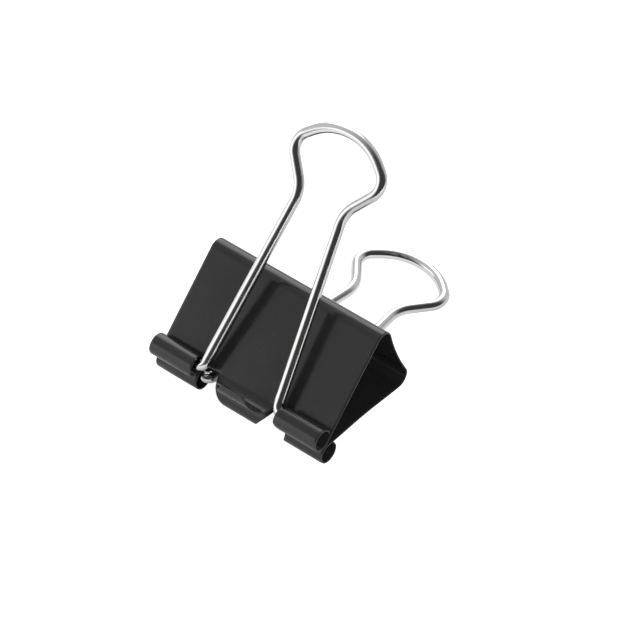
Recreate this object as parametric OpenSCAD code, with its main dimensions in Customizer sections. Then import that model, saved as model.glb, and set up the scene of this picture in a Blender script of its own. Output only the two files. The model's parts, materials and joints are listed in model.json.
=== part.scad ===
// Binder clip, medium size, lying on its back jaw with both handles folded back.
//
// A binder clip is one bent sheet of spring steel and two bent wires. The sheet is drawn here as
// three pieces that flex against each other: the spine strip and the two jaws that spring shut.
// Lengths are millimetres and angles are degrees.
//
// Everything is drawn in the clip's own frame: x runs along the mouth, y runs from the front jaw
// to the rear jaw, and z runs from the sleeve axes up to the spine. lay_down() then turns the clip
// onto the surface that it lies on, so that +z is up and the origin is under the middle.

/* [Clip body] */
// Width of the clip along its mouth
clip_w = 32; // [26:0.5:50]
// Depth of the spine, over the outsides of its two bends
spine_depth = 14.9; // [12:0.1:22]
// Height of the body, from the sleeve axes to the outside of the bends
body_h = 18; // [15:0.25:28]
// Thickness of the painted spring-steel sheet
sheet_t = 0.3; // [0.2:0.02:0.44]
// Outside radius of the two bends beside the spine
bend_r = 1.55; // [1.1:0.05:2.4]
// How far the middle of the spine dips below its bends
spine_dip = 0.3; // [0.1:0.05:0.6]
// Gap between the two closed jaws
jaw_gap = 0.3; // [0.2:0.05:0.8]

/* [Sleeves] */
// Outside diameter of the rolled sleeves that hold the handle feet
sleeve_d = 3.6; // [3:0.1:4.4]
// How far round each sleeve is rolled
sleeve_wrap = 312; // [280:2:320]
// Width of each slot that a handle leg swings through
slot_w = 2.7; // [2.2:0.1:3.2]
// Height above the sleeve axes at which the slots end and the centre lips start to curl
slot_top = 0.75; // [0.2:0.05:1.2]

/* [Centre lips] */
// Width of each centre lip where it leaves the jaw plate
lip_root_w = 10.8; // [9:0.2:13]
// Width of each centre lip at its free edge
lip_end_w = 4.4; // [2:0.2:8]
// Outside diameter of the curl of each centre lip
lip_d = 4.4; // [3.4:0.1:5]
// How far round each centre lip is curled
lip_wrap = 155; // [140:5:175]

/* [Handles] */
// Diameter of the handle wire
wire_d = 1.7; // [1.2:0.05:2]
// Length of a handle, from its sleeve axis to the middle of the wire at its crown
handle_len = 41.8; // [38:0.2:60]
// Distance from the sleeve axis to the neck, where the legs are closest
neck_at = 30.9; // [26:0.1:33]
// Distance between the two wire centres at the neck
neck_w = 8.1; // [6:0.1:10]
// Radius of the wire's centre line at the neck
neck_r = 7; // [4:0.5:8]
// Distance from the sleeve axis to the loop's shoulders
shoulder_at = 37.1; // [36:0.1:38]
// Distance between the loop's two shoulders, before they are rounded
shoulder_w = 17.7; // [16:0.1:19]
// Radius of the wire's centre line at the shoulders
shoulder_r = 2.8; // [1.6:0.1:3.4]
// Width of the crown between its two corners, before they are rounded
crown_w = 7.2; // [7:0.1:8]
// Radius of the wire's centre line at the crown
crown_r = 9; // [3:0.5:9]
// Gap between a leg and the end of the sleeve that its foot turns into
leg_clear = 0.25; // [0.15:0.05:0.4]
// How far each foot reaches into its sleeve, from the middle of its leg
foot_len = 6.6; // [4:0.1:7]
// Radius of the wire's centre line where a leg turns into its foot
foot_r = 1.5; // [1.2:0.05:1.7]
// Chamfer on the cut ends of the wire
wire_chamfer = 0.2; // [0.1:0.05:0.4]
// How much of its diameter the wire loses where bending has stretched it
bend_thinning = 0.02; // [0.01:0.01:0.06]

/* [Rest pose] */
// Gap between a fully folded handle and the bend that it folds onto
fold_gap = 0.3; // [0.2:0.05:0.6]
// Angle that the front handle stands off from its fully folded place
front_lift_angle = 7.5; // [0:0.5:30]
// Angle that the rear handle stands off from its fully folded place, with the clip lying on it
rear_lift_angle = 1.2; // [0:0.2:6]

/* [Hidden] */
$fn = 64;
PAINT = [0.15, 0.15, 0.155];
NICKEL = [0.82, 0.82, 0.84];
// Each bend of the wire runs this far into the straight wire beside it
bend_lap = 0.04;

wire_r = wire_d / 2;
sleeve_r = sleeve_d / 2;
lip_r = lip_d / 2;
// Half the distance between the two sleeve axes
axis_y = sleeve_r + jaw_gap / 2;
// Centre of a spine bend: its distance from the middle, and its height above the sleeve axes
bend_y = spine_depth / 2 - bend_r;
bend_z = body_h - bend_r;

// The straight line from a sleeve axis to its bend's centre, and its lean from the upright
reach = norm([bend_y - axis_y, bend_z]);
reach_lean = atan2(bend_y - axis_y, bend_z);
// Half angle of the body: the plate runs inside its sleeve's axis and outside its bend's centre
plate_offset = sleeve_r - sheet_t + bend_r;
plate_lean = reach_lean + asin(plate_offset / reach);
plate_len = sqrt(reach * reach - plate_offset * plate_offset);

// The spine is a shallow trough whose outside radius meets both bends at a tangent
trough_r = (bend_y * bend_y - bend_r * bend_r + (bend_r - spine_dip) * (bend_r - spine_dip))
    / (2 * spine_dip);
trough_half = atan2(bend_y, trough_r + bend_r - spine_dip);
bend_sweep = 90 + plate_lean + trough_half;

// The slots lie beside the centre lip, and the sleeves start where the slots end
sleeve_x = lip_root_w / 2 + slot_w;
leg_x = sleeve_x - leg_clear - wire_r;

// Lean of a fully folded handle, which would touch its bend without the fold gap
fold_lean = reach_lean + asin((bend_r + wire_r + fold_gap) / reach);
rear_lean = fold_lean + rear_lift_angle;
front_lean = fold_lean + front_lift_angle;

// A point given by its y and z in the front jaw's own frame, as [y, z] in the clip's frame
function from_jaw(y, z) = [
    y * cos(plate_lean) - z * sin(plate_lean) - axis_y,
    y * sin(plate_lean) + z * cos(plate_lean)
];
lip_centre = from_jaw(sleeve_r - lip_r, slot_top);
lip_edge = from_jaw(sleeve_r - lip_r + lip_r * cos(lip_wrap), slot_top - lip_r * sin(lip_wrap));

// The clip lies on the crown of its rear handle, and at the mouth on the free edge of its rear
// lip or on its rear sleeves, whichever stands out further
crown = [axis_y + handle_len * sin(rear_lean), handle_len * cos(rear_lean)];
from_edge = crown - [-lip_edge[0], lip_edge[1]];
lean_on_lip = atan2(from_edge[0], from_edge[1]) + asin(wire_r / norm(from_edge));
lean_on_sleeves = rear_lean - asin((sleeve_r - wire_r) / handle_len);
table_lean = min(lean_on_lip, lean_on_sleeves);
table_drop = max(
    axis_y * cos(table_lean) + sleeve_r,
    -lip_edge[0] * cos(table_lean) - lip_edge[1] * sin(table_lean)
);
// How far the clip reaches to either side along the surface that it lies on
mouth_end = min(
    -axis_y * sin(table_lean) - sleeve_r,
    lip_centre[0] * sin(table_lean) + lip_centre[1] * cos(table_lean) - lip_r
);
crown_end = crown[0] * sin(table_lean) + crown[1] * cos(table_lean) + wire_r;

// Centre line of a handle wire, from the right foot over the crown to the left foot
half_line = [
    [leg_x + foot_len, 0],
    [leg_x, 0],
    [neck_w / 2, neck_at],
    [shoulder_w / 2, shoulder_at],
    [crown_w / 2, handle_len]
];
half_radii = [0, foot_r, neck_r, shoulder_r, crown_r];
last = len(half_line) - 1;
wire_line = [
    for (i = [0:last]) half_line[i],
    for (i = [last:-1:0]) [-half_line[i].x, half_line[i].y]
];
wire_radii = [for (i = [0:last]) half_radii[i], for (i = [last:-1:0]) half_radii[i]];

function unit(v) = v / norm(v);
// Direction in which the wire arrives at corner i, and how far it turns there
function heading(i) = unit(wire_line[i] - wire_line[i - 1]);
function turn(i) = atan2(cross(heading(i), heading(i + 1)), heading(i) * heading(i + 1));
// Length of straight wire that the rounding of corner i takes away on each side
function cut_back(i) = wire_radii[i] * tan(abs(turn(i)) / 2);
function bend_start(i) = wire_line[i] - heading(i) * cut_back(i);
function bend_end(i) = wire_line[i] + heading(i + 1) * cut_back(i);

// Turns the clip from its own frame onto the surface that it lies on
module lay_down() {
    translate([0, -(mouth_end + crown_end) / 2, table_drop])
        rotate([table_lean - 90, 0, 0])
            children();
}

// Draws on the front jaw's side, or mirrored on the rear jaw's side
module on_side(rear) {
    mirror([0, rear ? 1 : 0, 0]) children();
}

// Places a jaw: its sleeve axis is the local x axis, and its plate stands up along local z
module in_jaw() {
    translate([0, -axis_y, 0]) rotate([plate_lean, 0, 0]) children();
}

// Sheet rolled about an axis along x, from one angle in the yz plane through a sweep
module rolled(radius, from, sweep, x_from, x_to) {
    rotate([90, 0, 90])
        rotate([0, 0, from])
            rotate_extrude(angle = sweep)
                translate([radius - sheet_t, x_from])
                    square([sheet_t, x_to - x_from]);
}

// Flat plate of a jaw with the bend at its top; between the sleeves it ends at the slots' tops
module plate() {
    difference() {
        translate([-clip_w / 2, sleeve_r - sheet_t, 0]) cube([clip_w, sheet_t, plate_len]);
        translate([-sleeve_x, 0, -sheet_t]) cube([2 * sleeve_x, sleeve_d, slot_top + sheet_t]);
    }
    translate([0, sleeve_r - sheet_t + bend_r, plate_len])
        rolled(bend_r, 180, -bend_sweep, -clip_w / 2, clip_w / 2);
}

// The two sleeves, rolled outwards and back up to the plate
module sleeves() {
    rolled(sleeve_r, 0, -sleeve_wrap, sleeve_x, clip_w / 2);
    rolled(sleeve_r, 0, -sleeve_wrap, -clip_w / 2, -sleeve_x);
}

// Centre lip: curled outwards like the sleeves but less far, with its sides cut on a slant
module lip() {
    half_root = lip_root_w / 2;
    half_end = lip_end_w / 2;
    // The slant ends where the free edge of the curl stands furthest out
    reach_out = lip_r * (1 - cos(lip_wrap));
    translate([0, sleeve_r - lip_r, slot_top])
        intersection() {
            rolled(lip_r, 0, -lip_wrap, -half_root, half_root);
            translate([0, lip_r, -lip_d])
                linear_extrude(2 * lip_d)
                    polygon([
                        [-half_root, 0],
                        [-half_end, -reach_out],
                        [-half_end, -2 * lip_d],
                        [half_end, -2 * lip_d],
                        [half_end, -reach_out],
                        [half_root, 0]
                    ]);
        }
}

// Straight run of wire between two points of the handle's plane
module wire_run(from, to) {
    run = to - from;
    translate([from.x, from.y, 0])
        rotate([0, 0, atan2(run.y, run.x)])
            rotate([0, 90, 0])
                cylinder(h = norm(run), r = wire_r);
}

// Rounded corner i of the handle wire, where the wire is a little thinner
module wire_corner(i) {
    side = sign(turn(i));
    centre = bend_start(i) + side * wire_radii[i] * [-heading(i).y, heading(i).x];
    arm = (side > 0 ? bend_start(i) : bend_end(i)) - centre;
    lap = bend_lap / wire_radii[i] * 180 / PI;
    translate([centre.x, centre.y, 0])
        rotate([0, 0, atan2(arm.y, arm.x) - lap])
            rotate_extrude(angle = abs(turn(i)) + 2 * lap)
                translate([wire_radii[i], 0])
                    circle(r = wire_r - bend_thinning / 2);
}

// Cut end of a foot, with its small chamfer; reach is measured along x from the leg
module foot_end(side) {
    translate([side * (leg_x + foot_len), 0, 0])
        rotate([0, 90 * side, 0])
            cylinder(h = wire_chamfer, r1 = wire_r, r2 = wire_r - wire_chamfer);
}

// One handle: legs, neck, loop and the two feet that turn outwards into the sleeves
module handle(lean) {
    translate([0, -axis_y, 0])
        rotate([90 + lean, 0, 0]) {
            for (i = [1:len(wire_line) - 2]) wire_corner(i);
            wire_run(wire_line[0], bend_start(1));
            for (i = [1:len(wire_line) - 3]) wire_run(bend_end(i), bend_start(i + 1));
            wire_run(bend_end(len(wire_line) - 2), wire_line[len(wire_line) - 1]);
            foot_end(1);
            foot_end(-1);
        }
}

// Back strip of the body: a shallow trough between the two bends
module spring_spine() {
    color(PAINT) lay_down()
        translate([0, 0, body_h - spine_dip + trough_r])
            rolled(trough_r + sheet_t, -90 - trough_half, 2 * trough_half, -clip_w / 2, clip_w / 2);
}

// Jaw whose sleeves hold the front handle
module front_jaw() {
    color(PAINT) lay_down() in_jaw() {
        plate();
        sleeves();
        lip();
    }
}

// Jaw that the clip lies on
module rear_jaw() {
    color(PAINT) lay_down() on_side(rear = true) in_jaw() {
        plate();
        sleeves();
        lip();
    }
}

// Wire handle that leans on the front jaw
module front_handle() {
    color(NICKEL) lay_down() handle(front_lean);
}

// Wire handle that is folded flat under the rear jaw
module rear_handle() {
    color(NICKEL) lay_down() on_side(rear = true) handle(rear_lean);
}

spring_spine();
front_jaw();
rear_jaw();
front_handle();
rear_handle();
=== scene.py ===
import json
import math

import bmesh
import bpy
from mathutils import Matrix, Vector


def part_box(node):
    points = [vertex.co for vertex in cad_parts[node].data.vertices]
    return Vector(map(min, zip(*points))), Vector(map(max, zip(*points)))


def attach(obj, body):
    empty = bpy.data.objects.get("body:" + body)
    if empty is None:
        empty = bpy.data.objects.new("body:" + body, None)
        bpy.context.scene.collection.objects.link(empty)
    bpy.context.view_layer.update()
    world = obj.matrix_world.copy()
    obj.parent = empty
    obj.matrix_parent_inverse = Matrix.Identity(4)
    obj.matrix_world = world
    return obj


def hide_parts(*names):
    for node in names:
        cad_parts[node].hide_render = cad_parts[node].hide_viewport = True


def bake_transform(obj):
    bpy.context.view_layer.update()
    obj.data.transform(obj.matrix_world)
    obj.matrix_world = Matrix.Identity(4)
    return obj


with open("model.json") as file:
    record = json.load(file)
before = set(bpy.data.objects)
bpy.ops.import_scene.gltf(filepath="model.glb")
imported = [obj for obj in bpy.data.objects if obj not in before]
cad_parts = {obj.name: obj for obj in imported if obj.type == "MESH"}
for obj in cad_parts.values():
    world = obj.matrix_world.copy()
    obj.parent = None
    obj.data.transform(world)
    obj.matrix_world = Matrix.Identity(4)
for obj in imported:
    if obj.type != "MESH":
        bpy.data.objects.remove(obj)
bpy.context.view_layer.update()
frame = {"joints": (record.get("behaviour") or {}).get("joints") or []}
joints = {joint["name"]: joint for joint in frame["joints"]}

# ------------------------------------------------------------------ the bent steel sheet
# The body is one blank of 0.3 mm spring steel, bent and painted black: two plates that lean
# together at the mouth and a narrow spine between them. It is drawn as two halves that meet along
# the middle of the spine.
# Lengths are in millimetres until a piece is laid down.
MM = 0.001
SHEET_T = 0.3
BEND_R = 1.85
SPINE_DIP = 0.36
# A bend starts this far inside its flexure line, and stands this far proud of it
BEND_INSET = 0.55
BEND_RISE = 0.21
SLEEVE_R = 1.8
SLEEVE_WRAP = math.radians(312)
SLOT_TOP = 0.75
LIP_R = 2.2
LIP_WRAP = math.radians(155)
# Middle of the slot between the lip and a sleeve, where the wire's leg comes through
SLOT_MIDDLE = 6.75

front_sleeve = Vector(joints["front_handle_swing"]["pos_m"]) / MM
rear_sleeve = Vector(joints["rear_handle_swing"]["pos_m"]) / MM
front_flexure = Vector(joints["front_jaw_flex"]["pos_m"]) / MM
rear_flexure = Vector(joints["rear_jaw_flex"]["pos_m"]) / MM

# The clip's own frame: x along the mouth, y from the front jaw to the rear jaw, z to the spine
mouth_middle = (front_sleeve + rear_sleeve) / 2
spine_middle = (front_flexure + rear_flexure) / 2
along_x = Vector((1, 0, 0))
along_y = (rear_sleeve - front_sleeve).normalized()
along_z = along_x.cross(along_y)
AXIS_Y = (rear_sleeve - front_sleeve).length / 2
FLEX_Y = (rear_flexure - front_flexure).length / 2
FLEX_Z = (spine_middle - mouth_middle).dot(along_z)
CLIP_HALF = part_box("spring_spine")[1].x / MM


def lay_down(x, y, z):
    """A point of the clip's own frame, in the frame of the part as it lies, in metres."""
    return (mouth_middle + along_x * x + along_y * y + along_z * z) * MM


def trough(bend_y):
    """Radius of the spine's trough and half its angle, for a bend that far from the middle."""
    inner = BEND_R - SPINE_DIP
    radius = (bend_y ** 2 - BEND_R ** 2 + inner ** 2) / (2 * SPINE_DIP)
    return radius, math.atan2(bend_y, radius + inner)


# Centre of a spine bend; the trough and the bend settle against each other in a few rounds
BEND_Y = FLEX_Y
for _ in range(20):
    TROUGH_R, TROUGH_HALF = trough(BEND_Y)
    BEND_Y = FLEX_Y - BEND_INSET + BEND_R * math.sin(TROUGH_HALF)
BEND_Z = FLEX_Z + BEND_RISE - BEND_R * math.cos(TROUGH_HALF)

# Lean and length of a plate, tangent to its bend and to its sleeve
REACH = math.hypot(BEND_Y - AXIS_Y, BEND_Z)
PLATE_OFFSET = SLEEVE_R - SHEET_T + BEND_R
PLATE_LEAN = math.atan2(BEND_Y - AXIS_Y, BEND_Z) + math.asin(PLATE_OFFSET / REACH)
PLATE_LEN = math.sqrt(REACH ** 2 - PLATE_OFFSET ** 2)

# Lengths along the middle of the sheet, from the middle of the spine
HALF_T = SHEET_T / 2
S_SPINE = (TROUGH_R + HALF_T) * TROUGH_HALF
S_BEND = S_SPINE + (BEND_R - HALF_T) * (math.pi / 2 + PLATE_LEAN + TROUGH_HALF)
S_SLOT = S_BEND + PLATE_LEN - SLOT_TOP
S_CREASE = S_BEND + PLATE_LEN
S_SLEEVE = S_CREASE + (SLEEVE_R - HALF_T) * SLEEVE_WRAP
S_LIP = S_SLOT + (LIP_R - HALF_T) * LIP_WRAP


def from_jaw(y, z):
    """A point of the jaw's frame, in the clip's frame; z runs up the plate from the sleeve axis."""
    c, s = math.cos(PLATE_LEAN), math.sin(PLATE_LEAN)
    return y * c - z * s - AXIS_Y, y * s + z * c


def rolled(radius, angle, depth):
    """A point of a roll that curls outwards; depth is from the middle of the sheet to the outside."""
    r = radius - HALF_T - depth
    return r * math.cos(angle), -r * math.sin(angle)


def bent(x, s, depth, bow=0.0):
    """Where a point of the flat blank goes on the front half; bow is how far the plate sags inwards."""
    if s <= S_SPINE:
        angle = s / (TROUGH_R + HALF_T)
        r = TROUGH_R + HALF_T - depth
        centre = BEND_Z + (TROUGH_R + BEND_R) * math.cos(TROUGH_HALF)
        return -r * math.sin(angle), centre - r * math.cos(angle)
    if s <= S_BEND:
        angle = math.pi / 2 - TROUGH_HALF + (s - S_SPINE) / (BEND_R - HALF_T)
        r = BEND_R - HALF_T + depth
        return -BEND_Y + r * math.cos(angle), BEND_Z + r * math.sin(angle)
    up = S_CREASE - s
    if s > S_SLOT and abs(x) < SLOT_MIDDLE:
        y, z = rolled(LIP_R, (s - S_SLOT) / (LIP_R - HALF_T), depth)
        return from_jaw(y + SLEEVE_R - LIP_R, z + SLOT_TOP)
    if up < 0:
        return from_jaw(*rolled(SLEEVE_R, -up / (SLEEVE_R - HALF_T), depth))
    sag = bow * math.sin(math.pi * up / PLATE_LEN) ** 2
    return from_jaw(SLEEVE_R - HALF_T - depth + sag, up)


# The outline of the blank: round corners of this radius at the ends of slots, sleeves and lips
SLOT_CORNER = 0.4
SLEEVE_CORNER = 1.0
LIP_CORNER = 0.5
OUTER_CORNER = 0.3
# A sleeve's tab reaches furthest where the roll faces away from the plate, and is cut back on both
# sides of there: the middle of the tip, half its width and the width of the slant, in degrees of roll
TIP_ROLL = 170
TIP_HALF = 30
TIP_SLANT = 60
# The punch draws both faces down a little beside every cut edge
EDGE_ROLL = 0.3
EDGE_DROP = 0.055
# The corner of the cut is broken by this much
EDGE_BREAK = 0.05


def smooth(share):
    """A share that starts and ends gently, held between 0 and 1."""
    share = min(max(share, 0), 1)
    return share * share * (3 - 2 * share)


def eased(start, past, radius):
    """How far a corner of that radius has drawn an edge in, at a distance past or before its end."""
    gap = min(max(past - start, 0), radius)
    return radius - math.sqrt(radius ** 2 - (radius - gap) ** 2)


def sleeve_span(s, tip, cut_back):
    """Inner and outer edge of a sleeve's tab at that length of the blank."""
    roll = math.degrees(max(s - S_CREASE, 0) / (SLEEVE_R - HALF_T))
    inner = tip + cut_back * smooth((abs(roll - TIP_ROLL) - TIP_HALF) / TIP_SLANT)
    inner += eased(s, S_SLEEVE, SLEEVE_CORNER) - eased(S_SLOT, s, SLOT_CORNER)
    return inner, CLIP_HALF - eased(s, S_SLEEVE, OUTER_CORNER)


def lip_side(s, root, end):
    """How far one side of the centre lip's tab reaches from the middle at that length of the blank."""
    outward = 1 - math.cos((s - S_SLOT) / (LIP_R - HALF_T))
    slant = (root - end) * outward / (1 - math.cos(LIP_WRAP))
    return root - slant + eased(S_SLOT, s, SLOT_CORNER) - eased(s, S_LIP, LIP_CORNER)


def steps(start, end, count):
    """Evenly spaced places, both ends among them."""
    return [start + (end - start) * i / count for i in range(count + 1)]


def near_ends(start, end, count, close=(0.06, 0.14, 0.26, 0.4)):
    """Evenly spaced places with a few more beside both ends, where the edges are rounded."""
    middle = steps(start + close[-1], end - close[-1], count)
    first = [start] + [start + c for c in close[:-1]]
    last = [end - c for c in close[:-1]][::-1] + [end]
    return first + middle + last


def flat_blank(tab_cuts, lip_sides):
    """Half of the flat blank as a slab: x across the clip, y along the blank, z through the sheet.

    tab_cuts gives, for the left and the right sleeve, how far from the middle its tab's tip ends and how
    far the tab is cut back beside it. lip_sides gives, for the left and the right side of the lip, how
    far from the middle it reaches at its root and at its end.
    """
    bm = bmesh.new()
    tabs = {}
    for side, tab_cut in zip((-1, 1), tab_cuts):
        inner = sum(tab_cut)
        root = lip_sides[side > 0][0]
        slot = near_ends(root, inner, 3)[1:-1]
        sleeve = near_ends(inner, CLIP_HALF, 14)
        tabs[side] = (root, inner, slot, sleeve)
    lip_x = near_ends(-tabs[-1][0], tabs[1][0], 20)
    kinds = ["sleeve"] * len(tabs[-1][3]) + ["slot"] * len(tabs[-1][2])
    kinds += ["lip"] * len(lip_x)
    kinds += ["slot"] * len(tabs[1][2]) + ["sleeve"] * len(tabs[1][3])
    columns = [-x for x in (tabs[-1][2] + tabs[-1][3])[::-1]] + lip_x + tabs[1][2] + tabs[1][3]
    rows = steps(0, S_SPINE, 8)
    rows += steps(S_SPINE, S_BEND, 22)[1:]
    rows += near_ends(S_BEND, S_SLOT, 14)[1:]
    last = len(rows) - 1
    layers = {}

    def across(c, s):
        """Where column c lies at that length of the blank."""
        x = columns[c]
        if s < S_SLOT:
            return x
        if kinds[c] == "lip":
            left, right = [lip_side(s, *ends) for ends in lip_sides]
            return -left + (left + right) * (x - lip_x[0]) / (lip_x[-1] - lip_x[0])
        side = -1 if x < 0 else 1
        root, tab_side = tabs[side][:2]
        if kinds[c] == "sleeve":
            inner, outer = sleeve_span(s, *tab_cuts[side > 0])
            share = (abs(x) - tab_side) / (CLIP_HALF - tab_side)
            return side * (inner + (outer - inner) * share)
        share = (abs(x) - root) / (tab_side - root)
        width = tab_side - root - 2 * SLOT_CORNER
        return side * (root + SLOT_CORNER + width * share)

    def to_cut_edge(kind, x, s):
        """Distance from a point of the blank to the nearest cut edge."""
        side = -1 if x < 0 else 1
        gaps = [CLIP_HALF - abs(x)]
        if s <= S_SLOT:
            for root, tab_side, _, _ in tabs.values():
                beside = max(root - abs(x), abs(x) - tab_side, 0)
                gaps.append(math.hypot(beside, S_SLOT - s))
        elif kind == "lip":
            left, right = [lip_side(s, *ends) for ends in lip_sides]
            gaps += [x + left, right - x, S_LIP - s]
        else:
            gaps += [abs(x) - sleeve_span(s, *tab_cuts[side > 0])[0], S_SLEEVE - s]
        return max(min(gaps), 0)

    def vertex(key, c, s):
        if key not in layers:
            x = across(c, s)
            gap = to_cut_edge(kinds[c], x, s)
            depth = HALF_T - EDGE_DROP * max(1 - gap / EDGE_ROLL, 0) ** 2
            layers[key] = [bm.verts.new((x, s, side * depth)) for side in (-1, 1)]
        return layers[key]

    def tab(name, kept, stations):
        """Both faces of one tab; its first row is the plate's last one."""
        for i in range(len(stations) - 1):
            for j in range(len(columns) - 1):
                if not (j in kept and j + 1 in kept):
                    continue
                quad = []
                for k, c in ((i, j), (i, j + 1), (i + 1, j + 1), (i + 1, j)):
                    if name == "plate":
                        key = (k, c)
                    else:
                        key = (last, c) if k == 0 else (name, k, c)
                    quad.append(vertex(key, c, stations[k]))
                bm.faces.new([v[1] for v in quad])
                bm.faces.new([v[0] for v in quad][::-1])

    everywhere = range(len(columns))
    tab("plate", everywhere, rows)
    sleeve_rows = near_ends(S_SLOT, S_SLEEVE, 46)
    tab("left sleeve", [c for c in everywhere if kinds[c] == "sleeve" and columns[c] < 0], sleeve_rows)
    tab("right sleeve", [c for c in everywhere if kinds[c] == "sleeve" and columns[c] > 0], sleeve_rows)
    tab("lip", [c for c in everywhere if kinds[c] == "lip"], near_ends(S_SLOT, S_LIP, 26))

    # Close the cut edges and break their corners; the joint along the spine stays sharp
    other = {v[1]: v[0] for v in layers.values()}
    cut = []
    for open_edge in [e for e in bm.edges if e.is_boundary and e.verts[0].co.z > 0]:
        a, b = open_edge.verts
        if open_edge.link_loops[0].vert is a:
            a, b = b, a
        face = bm.faces.new((a, b, other[b], other[a]))
        if max(a.co.y, b.co.y) > 0:
            cut.append(face)
        else:
            for edge in face.edges:
                edge.smooth = False
    bm.normal_update()
    rim = {e for f in cut for e in f.edges if e.verts[0].co.z * e.verts[1].co.z > 0}
    bmesh.ops.bevel(
        bm, geom=list(rim), offset=EDGE_BREAK, segments=2, profile=0.6, affect="EDGES", clamp_overlap=True
    )
    bmesh.ops.recalc_face_normals(bm, faces=bm.faces)
    return bm


def sheet_half(name, side, tab_cuts, lip_sides, bow):
    """One half of the body, bent from its blank; side is -1 at the front jaw and 1 at the rear."""
    bm = flat_blank(tab_cuts, lip_sides)
    flat = [v.co.copy() for v in bm.verts]
    for v in bm.verts:
        x, s, depth = v.co
        y, z = bent(x, s, depth, bow)
        v.co = lay_down(x, -side * y, z)
    if side > 0:
        bmesh.ops.reverse_faces(bm, faces=bm.faces)
    bmesh.ops.recalc_face_normals(bm, faces=bm.faces)
    mesh = bpy.data.meshes.new(name)
    bm.to_mesh(mesh)
    bm.free()
    mesh.shade_smooth()
    place = mesh.attributes.new("blank_mm", "FLOAT_VECTOR", "POINT")
    place.data.foreach_set("vector", [c for co in flat for c in co])
    piece = bpy.data.objects.new(name, mesh)
    bpy.context.scene.collection.objects.link(piece)
    return piece


# The shears and the rolls never leave both halves quite alike, and the rear plate sags a little
front_half = sheet_half(
    "front_half_of_sheet",
    side=-1,
    tab_cuts=((8.0, 0.3), (8.0, 0.8)),
    lip_sides=((5.05, 1.85), (5.75, 2.55)),
    bow=0,
)
rear_half = sheet_half(
    "rear_half_of_sheet",
    side=1,
    tab_cuts=((8.0, 0.2), (8.5, 0.5)),
    lip_sides=((5.4, 3.2), (5.4, 2.45)),
    bow=0.26,
)


def combined(nodes, link, operation, first, second):
    """Output of a Math node that joins two sockets."""
    made = nodes.new("ShaderNodeMath")
    made.operation = operation
    link(first, made.inputs[0])
    link(second, made.inputs[1])
    return made.outputs[0]


def handling_marks():
    """Faint smears and hair scratches that make the gloss uneven, for paint and plating alike."""
    group = bpy.data.node_groups.new("handling_marks", "ShaderNodeTree")
    face = group.interface
    face.new_socket("Place", in_out="INPUT", socket_type="NodeSocketVector")
    for label, value in (("Smear Size", 4.0), ("Clean", 0.2), ("Smeared", 0.3), ("Scratch", 0.05)):
        face.new_socket(label, in_out="INPUT", socket_type="NodeSocketFloat").default_value = value
    face.new_socket("Roughness", in_out="OUTPUT", socket_type="NodeSocketFloat")
    face.new_socket("Scratches", in_out="OUTPUT", socket_type="NodeSocketFloat")
    nodes, link = group.nodes, group.links.new
    given = nodes.new("NodeGroupInput")
    result = nodes.new("NodeGroupOutput")
    smear = nodes.new("ShaderNodeTexNoise")
    smear.inputs["Detail"].default_value = 5
    size = nodes.new("ShaderNodeMath")
    size.operation = "DIVIDE"
    size.inputs[0].default_value = 1
    link(given.outputs["Smear Size"], size.inputs[1])
    link(given.outputs["Place"], smear.inputs["Vector"])
    link(size.outputs[0], smear.inputs["Scale"])
    spread = nodes.new("ShaderNodeMapRange")
    spread.inputs["From Min"].default_value = 0.42
    spread.inputs["From Max"].default_value = 0.68
    link(smear.outputs["Fac"], spread.inputs["Value"])
    link(given.outputs["Clean"], spread.inputs["To Min"])
    link(given.outputs["Smeared"], spread.inputs["To Max"])
    stretch = nodes.new("ShaderNodeMapping")
    stretch.inputs["Rotation"].default_value = (0.3, 0.2, 0.7)
    stretch.inputs["Scale"].default_value = (9, 0.35, 9)
    link(given.outputs["Place"], stretch.inputs["Vector"])
    hair = nodes.new("ShaderNodeTexNoise")
    hair.inputs["Scale"].default_value = 1
    hair.inputs["Detail"].default_value = 2
    link(stretch.outputs["Vector"], hair.inputs["Vector"])
    thin = nodes.new("ShaderNodeMapRange")
    thin.inputs["From Min"].default_value = 0.66
    thin.inputs["From Max"].default_value = 0.74
    link(hair.outputs["Fac"], thin.inputs["Value"])
    scratches = combined(nodes, link, "MULTIPLY", thin.outputs["Result"], given.outputs["Scratch"])
    roughness = combined(nodes, link, "ADD", spread.outputs["Result"], scratches)
    link(roughness, result.inputs["Roughness"])
    link(scratches, result.inputs["Scratches"])
    return group


MARKS = handling_marks()


def material(name):
    """A new material, with its nodes and the call that links them."""
    made = bpy.data.materials.new(name)
    made.use_nodes = True
    return made, made.node_tree.nodes, made.node_tree.links.new


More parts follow.
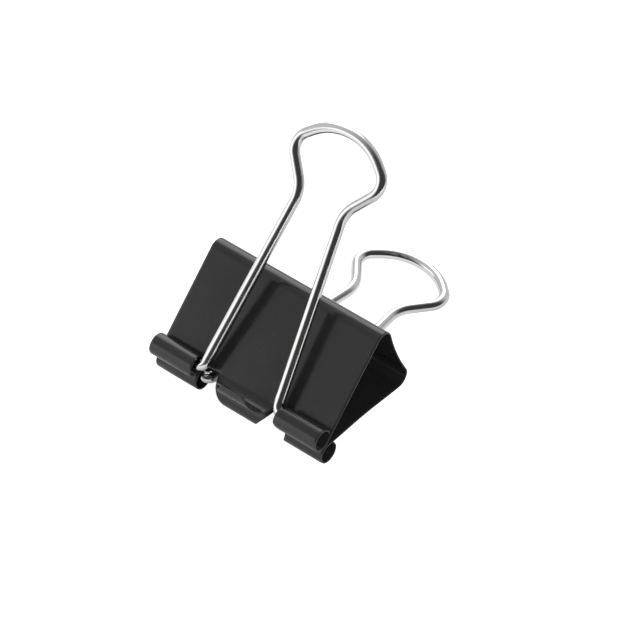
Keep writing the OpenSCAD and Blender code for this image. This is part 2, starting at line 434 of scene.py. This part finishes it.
def black_enamel():
    """Stoved black paint, with a faint orange peel and greyer where it is scratched."""
    made, nodes, link = material("black_enamel")
    shader = nodes["Principled BSDF"]
    shader.inputs["IOR"].default_value = 1.5
    place = nodes.new("ShaderNodeAttribute")
    place.attribute_name = "blank_mm"
    marks = nodes.new("ShaderNodeGroup")
    marks.node_tree = MARKS
    marks.inputs["Smear Size"].default_value = 5
    marks.inputs["Clean"].default_value = 0.16
    marks.inputs["Smeared"].default_value = 0.24
    marks.inputs["Scratch"].default_value = 0.1
    link(place.outputs["Vector"], marks.inputs["Place"])
    link(marks.outputs["Roughness"], shader.inputs["Roughness"])
    tone = nodes.new("ShaderNodeMix")
    tone.data_type = "RGBA"
    tone.inputs["A"].default_value = (0.019, 0.019, 0.0195, 1)
    tone.inputs["B"].default_value = (0.04, 0.04, 0.04, 1)
    link(marks.outputs["Scratches"], tone.inputs["Factor"])
    link(tone.outputs["Result"], shader.inputs["Base Color"])
    peel = nodes.new("ShaderNodeTexNoise")
    peel.inputs["Scale"].default_value = 1.6
    peel.inputs["Detail"].default_value = 2
    link(place.outputs["Vector"], peel.inputs["Vector"])
    bump = nodes.new("ShaderNodeBump")
    bump.inputs["Strength"].default_value = 0.25
    bump.inputs["Distance"].default_value = 0.00002
    link(peel.outputs["Fac"], bump.inputs["Height"])
    link(bump.outputs["Normal"], shader.inputs["Normal"])
    return made


ENAMEL = black_enamel()
# Each half takes the enamel and is fixed where it lies, and the pieces of the part that it stands for are
# hidden
for half, jaw, side in ((front_half, "front_jaw", -1), (rear_half, "rear_jaw", 1)):
    half.data.materials.append(ENAMEL)
    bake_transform(half)
    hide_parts(jaw, "spring_spine")


# ------------------------------------------------------------------ the two wire handles
# Each handle is one length of nickel-plated spring wire, bent flat in a jig: two legs that close
# towards a neck, then a round-shouldered loop. The feet turn outwards into the rolled sleeves.
WIRE_R = 0.85
WIRE_CHAMFER = 0.2
FOOT_LEN = 6.6
# Corners of the wire's centre line: across from the middle, and up from the feet
LEG_X = 7.08
NECK = (4.05, 30.9)
SHOULDER = (8.85, 37.1)
CROWN = (3.6, 41.8)
# Bend radii at the foot, the neck, the shoulder and the crown
BEND_RADII = (1.2, 5.0, 2.8, 9.0)
# Spacing of the rings along the straights, and in degrees round the bends
RING_GAP = 0.8
RING_TURN = 4
RING_SIDES = 36


def wire_path():
    """Centre line of a handle in its own plane, as points with headings, from foot to foot."""
    half = [(LEG_X + FOOT_LEN, 0), (LEG_X, 0), NECK, SHOULDER, CROWN]
    corners = [Vector(p) for p in half] + [Vector((-p[0], p[1])) for p in half[::-1]]
    radii = (0,) + BEND_RADII + BEND_RADII[::-1] + (0,)
    path = []
    last = corners[0]
    for i in range(1, len(corners) - 1):
        before = (corners[i] - corners[i - 1]).normalized()
        after = (corners[i + 1] - corners[i]).normalized()
        turn = math.atan2(before.cross(after), before.dot(after))
        back = radii[i] * math.tan(abs(turn) / 2)
        start = corners[i] - before * back
        run = max(2, int((start - last).length / RING_GAP))
        path += [(last.lerp(start, k / run), before) for k in range(run)]
        side = math.copysign(1, turn)
        centre = start + Vector((-before.y, before.x)) * radii[i] * side
        bends = max(6, int(math.degrees(abs(turn)) / RING_TURN))
        for k in range(bends):
            rotation = Matrix.Rotation(turn * k / bends, 2)
            path.append((centre + rotation @ (start - centre), rotation @ before))
        last = corners[i] + after * back
    run = max(2, int((corners[-1] - last).length / RING_GAP))
    path += [(last.lerp(corners[-1], k / run), after) for k in range(run + 1)]
    return path


def wire_handle(name, body, pivot, folded_out, towards_loop, rest):
    """One bent wire. folded_out is the direction away from the jaw, square to the handle's plane.

    rest is how far its feet lie off the middle of their loose sleeves.
    """
    path = wire_path()
    first, last = path[0], path[-1]
    rings = [(first[0] - first[1] * WIRE_CHAMFER, first[1], WIRE_R - WIRE_CHAMFER)]
    rings += [(point, heading, WIRE_R) for point, heading in path]
    rings += [(last[0] + last[1] * WIRE_CHAMFER, last[1], WIRE_R - WIRE_CHAMFER)]
    bm = bmesh.new()
    straight = []
    made = []
    length = 0
    for k, (point, heading, radius) in enumerate(rings):
        if k:
            length += (point - rings[k - 1][0]).length
        across = Vector((-heading.y, heading.x))
        ring = []
        for i in range(RING_SIDES):
            a = 2 * math.pi * i / RING_SIDES
            flat = point + across * math.cos(a) * radius
            spot = along_x * flat.x + towards_loop * flat.y + folded_out * math.sin(a) * radius
            spot += rest * (1 - flat.y / CROWN[1])
            ring.append(bm.verts.new(pivot + spot * MM))
            straight.append((math.cos(a) * radius, length, math.sin(a) * radius))
        made.append(ring)
    for near, far in zip(made, made[1:]):
        for i in range(RING_SIDES):
            following = (i + 1) % RING_SIDES
            bm.faces.new((near[i], near[following], far[following], far[i]))
    bm.faces.new(made[0][::-1])
    bm.faces.new(made[-1])
    bmesh.ops.recalc_face_normals(bm, faces=bm.faces)
    mesh = bpy.data.meshes.new(name)
    bm.to_mesh(mesh)
    bm.free()
    mesh.shade_smooth()
    sharp = mesh.attributes.new("sharp_edge", "BOOLEAN", "EDGE")
    ends = set(range(RING_SIDES)) | set(range(len(straight) - RING_SIDES, len(straight)))
    sharp.data.foreach_set("value", [e.vertices[0] in ends and e.vertices[1] in ends for e in mesh.edges])
    place = mesh.attributes.new("wire_mm", "FLOAT_VECTOR", "POINT")
    place.data.foreach_set("vector", [c for co in straight for c in co])
    piece = bpy.data.objects.new(name, mesh)
    bpy.context.scene.collection.objects.link(piece)
    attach(piece, body)
    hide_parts(body)
    return piece


def nickel_plate():
    """Bright nickel, with the fine lengthwise lines that drawing leaves in the wire."""
    made, nodes, link = material("nickel_plate")
    shader = nodes["Principled BSDF"]
    shader.inputs["Metallic"].default_value = 1
    place = nodes.new("ShaderNodeAttribute")
    place.attribute_name = "wire_mm"
    marks = nodes.new("ShaderNodeGroup")
    marks.node_tree = MARKS
    marks.inputs["Smear Size"].default_value = 3
    marks.inputs["Clean"].default_value = 0.1
    marks.inputs["Smeared"].default_value = 0.2
    marks.inputs["Scratch"].default_value = 0.08
    link(place.outputs["Vector"], marks.inputs["Place"])
    link(marks.outputs["Roughness"], shader.inputs["Roughness"])
    tone = nodes.new("ShaderNodeMix")
    tone.data_type = "RGBA"
    tone.inputs["A"].default_value = (0.72, 0.72, 0.715, 1)
    tone.inputs["B"].default_value = (0.5, 0.5, 0.49, 1)
    link(marks.outputs["Scratches"], tone.inputs["Factor"])
    link(tone.outputs["Result"], shader.inputs["Base Color"])
    stretch = nodes.new("ShaderNodeMapping")
    stretch.inputs["Scale"].default_value = (14, 0.06, 14)
    link(place.outputs["Vector"], stretch.inputs["Vector"])
    drawn = nodes.new("ShaderNodeTexNoise")
    drawn.inputs["Scale"].default_value = 1
    drawn.inputs["Detail"].default_value = 3
    link(stretch.outputs["Vector"], drawn.inputs["Vector"])
    bump = nodes.new("ShaderNodeBump")
    bump.inputs["Strength"].default_value = 0.12
    bump.inputs["Distance"].default_value = 0.00001
    link(drawn.outputs["Fac"], bump.inputs["Height"])
    link(bump.outputs["Normal"], shader.inputs["Normal"])
    return made


NICKEL = nickel_plate()
# The wire sits loose: the front feet are drawn up the sleeve, and the clip's weight presses the rear ones in
FRONT_REST = 0.4
REAR_REST = 0.5
for name, body, sleeve, side in (
    ("front_wire_handle", "front_handle", front_sleeve, -1),
    ("rear_wire_handle", "rear_handle", rear_sleeve, 1),
):
    low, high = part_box(body)
    if side < 0:
        rise = high.z / MM - WIRE_R - sleeve.z
    else:
        rise = low.z / MM + WIRE_R - sleeve.z
    angle = math.asin(rise / CROWN[1])
    towards_loop = Vector((0, math.cos(angle), math.sin(angle)))
    outwards = along_x.cross(towards_loop) * -side
    rest = towards_loop * FRONT_REST if side < 0 else -outwards * REAR_REST
    made = wire_handle(name, body, sleeve * MM, outwards, towards_loop, rest)
    made.data.materials.append(NICKEL)


# ------------------------------------------------------------------ table, lights and camera
# The clip lies on a plain white table in soft light from all round. The room has a darker side
# towards the viewer, which gives the bright wire its dark middle. From here on, sizes are in metres.
CAMERA_AZIMUTH = 39.29
CAMERA_ELEVATION = 43.72
CAMERA_ROLL = math.radians(0.37)
CAMERA_DISTANCE = 0.5905
AIM = Vector((0.00383, -0.00694, 0.01252))
LENS = 225.2


def seen_from_clip(azimuth, elevation):
    """Unit vector, with the azimuth from -y towards +x and the elevation up, both in degrees."""
    azimuth, elevation = math.radians(azimuth), math.radians(elevation)
    across = math.cos(elevation)
    return Vector((math.sin(azimuth) * across, -math.cos(azimuth) * across, math.sin(elevation)))


towards_camera = seen_from_clip(CAMERA_AZIMUTH, CAMERA_ELEVATION)
camera_data = bpy.data.cameras.new("camera")
camera_data.sensor_width = 36
camera_data.lens = LENS
camera_data.clip_start = 0.01
camera_data.clip_end = 10
camera = bpy.data.objects.new("camera", camera_data)
bpy.context.scene.collection.objects.link(camera)
look = (-towards_camera).to_track_quat("-Z", "Y").to_matrix().to_4x4()
turned = look @ Matrix.Rotation(CAMERA_ROLL, 4, "Z")
camera.matrix_world = Matrix.Translation(AIM + towards_camera * CAMERA_DISTANCE) @ turned
bpy.context.scene.camera = camera


def soft_ramp(nodes, low, high, start, end):
    """A Map Range node that eases from start, at low, to end, at high."""
    made = nodes.new("ShaderNodeMapRange")
    made.interpolation_type = "SMOOTHSTEP"
    made.inputs["From Min"].default_value = low
    made.inputs["From Max"].default_value = high
    made.inputs["To Min"].default_value = start
    made.inputs["To Max"].default_value = end
    return made


# What the wire mirrors of the table: its glow on the bright side, the side darkened by painted shade, and
# the share of the glow left close to the mouth, where a painted shadow stands in for the clip's own shade
TABLE_GLOW = 0.38
PAINTED_DARK_SIDE = seen_from_clip(100, 0)
PAINTED_SHADE_SHARE = 0.4


def white_table():
    """White everywhere to the eye; the bright wire mirrors it with painted shade, dimmer to the right and by
    the mouth.
    """
    made, nodes, link = material("white_table")
    shader = nodes["Principled BSDF"]
    shader.inputs["Roughness"].default_value = 0.9
    shader.inputs["Specular IOR Level"].default_value = 0
    grain = nodes.new("ShaderNodeTexNoise")
    grain.inputs["Scale"].default_value = 900
    tone = nodes.new("ShaderNodeMix")
    tone.data_type = "RGBA"
    tone.inputs["A"].default_value = (0.88, 0.88, 0.88, 1)
    tone.inputs["B"].default_value = (0.9, 0.9, 0.9, 1)
    link(grain.outputs["Fac"], tone.inputs["Factor"])
    link(tone.outputs["Result"], shader.inputs["Base Color"])
    ray = nodes.new("ShaderNodeLightPath")
    through = ray.outputs["Is Transmission Ray"]
    mirrored = combined(nodes, link, "MAXIMUM", ray.outputs["Is Glossy Ray"], through)
    spot = nodes.new("ShaderNodeNewGeometry")
    sideways = nodes.new("ShaderNodeVectorMath")
    sideways.operation = "DOT_PRODUCT"
    sideways.inputs[1].default_value = PAINTED_DARK_SIDE
    link(spot.outputs["Position"], sideways.inputs[0])
    # Painted shade: the table's mirrored glow fades out towards the right
    glow = soft_ramp(nodes, 0.004, 0.018, TABLE_GLOW, 0)
    link(sideways.outputs["Value"], glow.inputs["Value"])
    away = nodes.new("ShaderNodeVectorMath")
    away.operation = "DISTANCE"
    away.inputs[1].default_value = mouth_middle * MM
    link(spot.outputs["Position"], away.inputs[0])
    # Painted shadow: the mirrored glow dims close to the mouth, where the clip's own shade would fall
    shade = soft_ramp(nodes, 0.01, 0.035, PAINTED_SHADE_SHARE, 1)
    link(away.outputs["Value"], shade.inputs["Value"])
    left_over = combined(nodes, link, "MULTIPLY", glow.outputs["Result"], shade.outputs["Result"])
    shown = combined(nodes, link, "MULTIPLY", mirrored, left_over)
    lift = nodes.new("ShaderNodeMath")
    lift.operation = "MULTIPLY_ADD"
    lift.inputs[1].default_value = 0.88
    link(ray.outputs["Is Camera Ray"], lift.inputs[0])
    link(shown, lift.inputs[2])
    shader.inputs["Emission Color"].default_value = (1, 1, 1, 1)
    link(lift.outputs[0], shader.inputs["Emission Strength"])
    return made


def table_top():
    """A table so wide that its edges never show."""
    bm = bmesh.new()
    half = 3.0
    corners = [(-half, -half), (half, -half), (half, half), (-half, half)]
    bm.faces.new([bm.verts.new((x, y, 0)) for x, y in corners])
    bmesh.ops.subdivide_edges(bm, edges=bm.edges[:], cuts=8, use_grid_fill=True)
    mesh = bpy.data.meshes.new("table_top")
    bm.to_mesh(mesh)
    bm.free()
    piece = bpy.data.objects.new("table_top", mesh)
    bpy.context.scene.collection.objects.link(piece)
    piece.data.materials.append(white_table())


table_top()


def softbox(name, direction, distance, size, brightness):
    """A lamp whose face is that bright, where 1 is white, at a distance from the clip in metres."""
    data = bpy.data.lights.new(name, "AREA")
    data.shape = "RECTANGLE"
    data.size, data.size_y = size
    data.energy = brightness * math.pi * size[0] * size[1]
    lamp = bpy.data.objects.new(name, data)
    bpy.context.scene.collection.objects.link(lamp)
    away = Vector(direction).normalized()
    aim = (-away).to_track_quat("-Z", "Y").to_matrix().to_4x4()
    lamp.matrix_world = Matrix.Translation(away * distance) @ aim
    return lamp


# Two softboxes stand on the left, the brighter one behind the clip
softbox("softbox_front_left", seen_from_clip(-45, 14), 0.7, (0.6, 0.42), 0.8)
softbox("softbox_back_left", seen_from_clip(-140, 35), 0.8, (0.46, 0.58), 2.1)
# A low fill lamp on the right reaches into the open end, and does not show in the bright wire
fill = softbox("fill_right", seen_from_clip(74, 20), 0.6, (0.5, 0.5), 4.9)
fill.visible_glossy = False

# The room is pale on the left and behind, and dark on the right and in front
DARK_ROOM = seen_from_clip(60, 35)
PALE = 0.67
DARK = 0.05
world = bpy.data.worlds.new("studio")
world.use_nodes = True
bpy.context.scene.world = world
nodes, link = world.node_tree.nodes, world.node_tree.links.new
background = nodes["Background"]
direction = nodes.new("ShaderNodeTexCoord")
facing = nodes.new("ShaderNodeVectorMath")
facing.operation = "DOT_PRODUCT"
facing.inputs[1].default_value = DARK_ROOM
link(direction.outputs["Generated"], facing.inputs[0])
shade = soft_ramp(nodes, 0.1, 0.75, PALE, DARK)
link(facing.outputs["Value"], shade.inputs["Value"])
ray = nodes.new("ShaderNodeLightPath")
white_to_eye = combined(nodes, link, "MAXIMUM", shade.outputs["Result"], ray.outputs["Is Camera Ray"])
link(white_to_eye, background.inputs["Strength"])
background.inputs["Color"].default_value = (1, 1, 1, 1)

bpy.context.scene.view_settings.view_transform = "Standard"
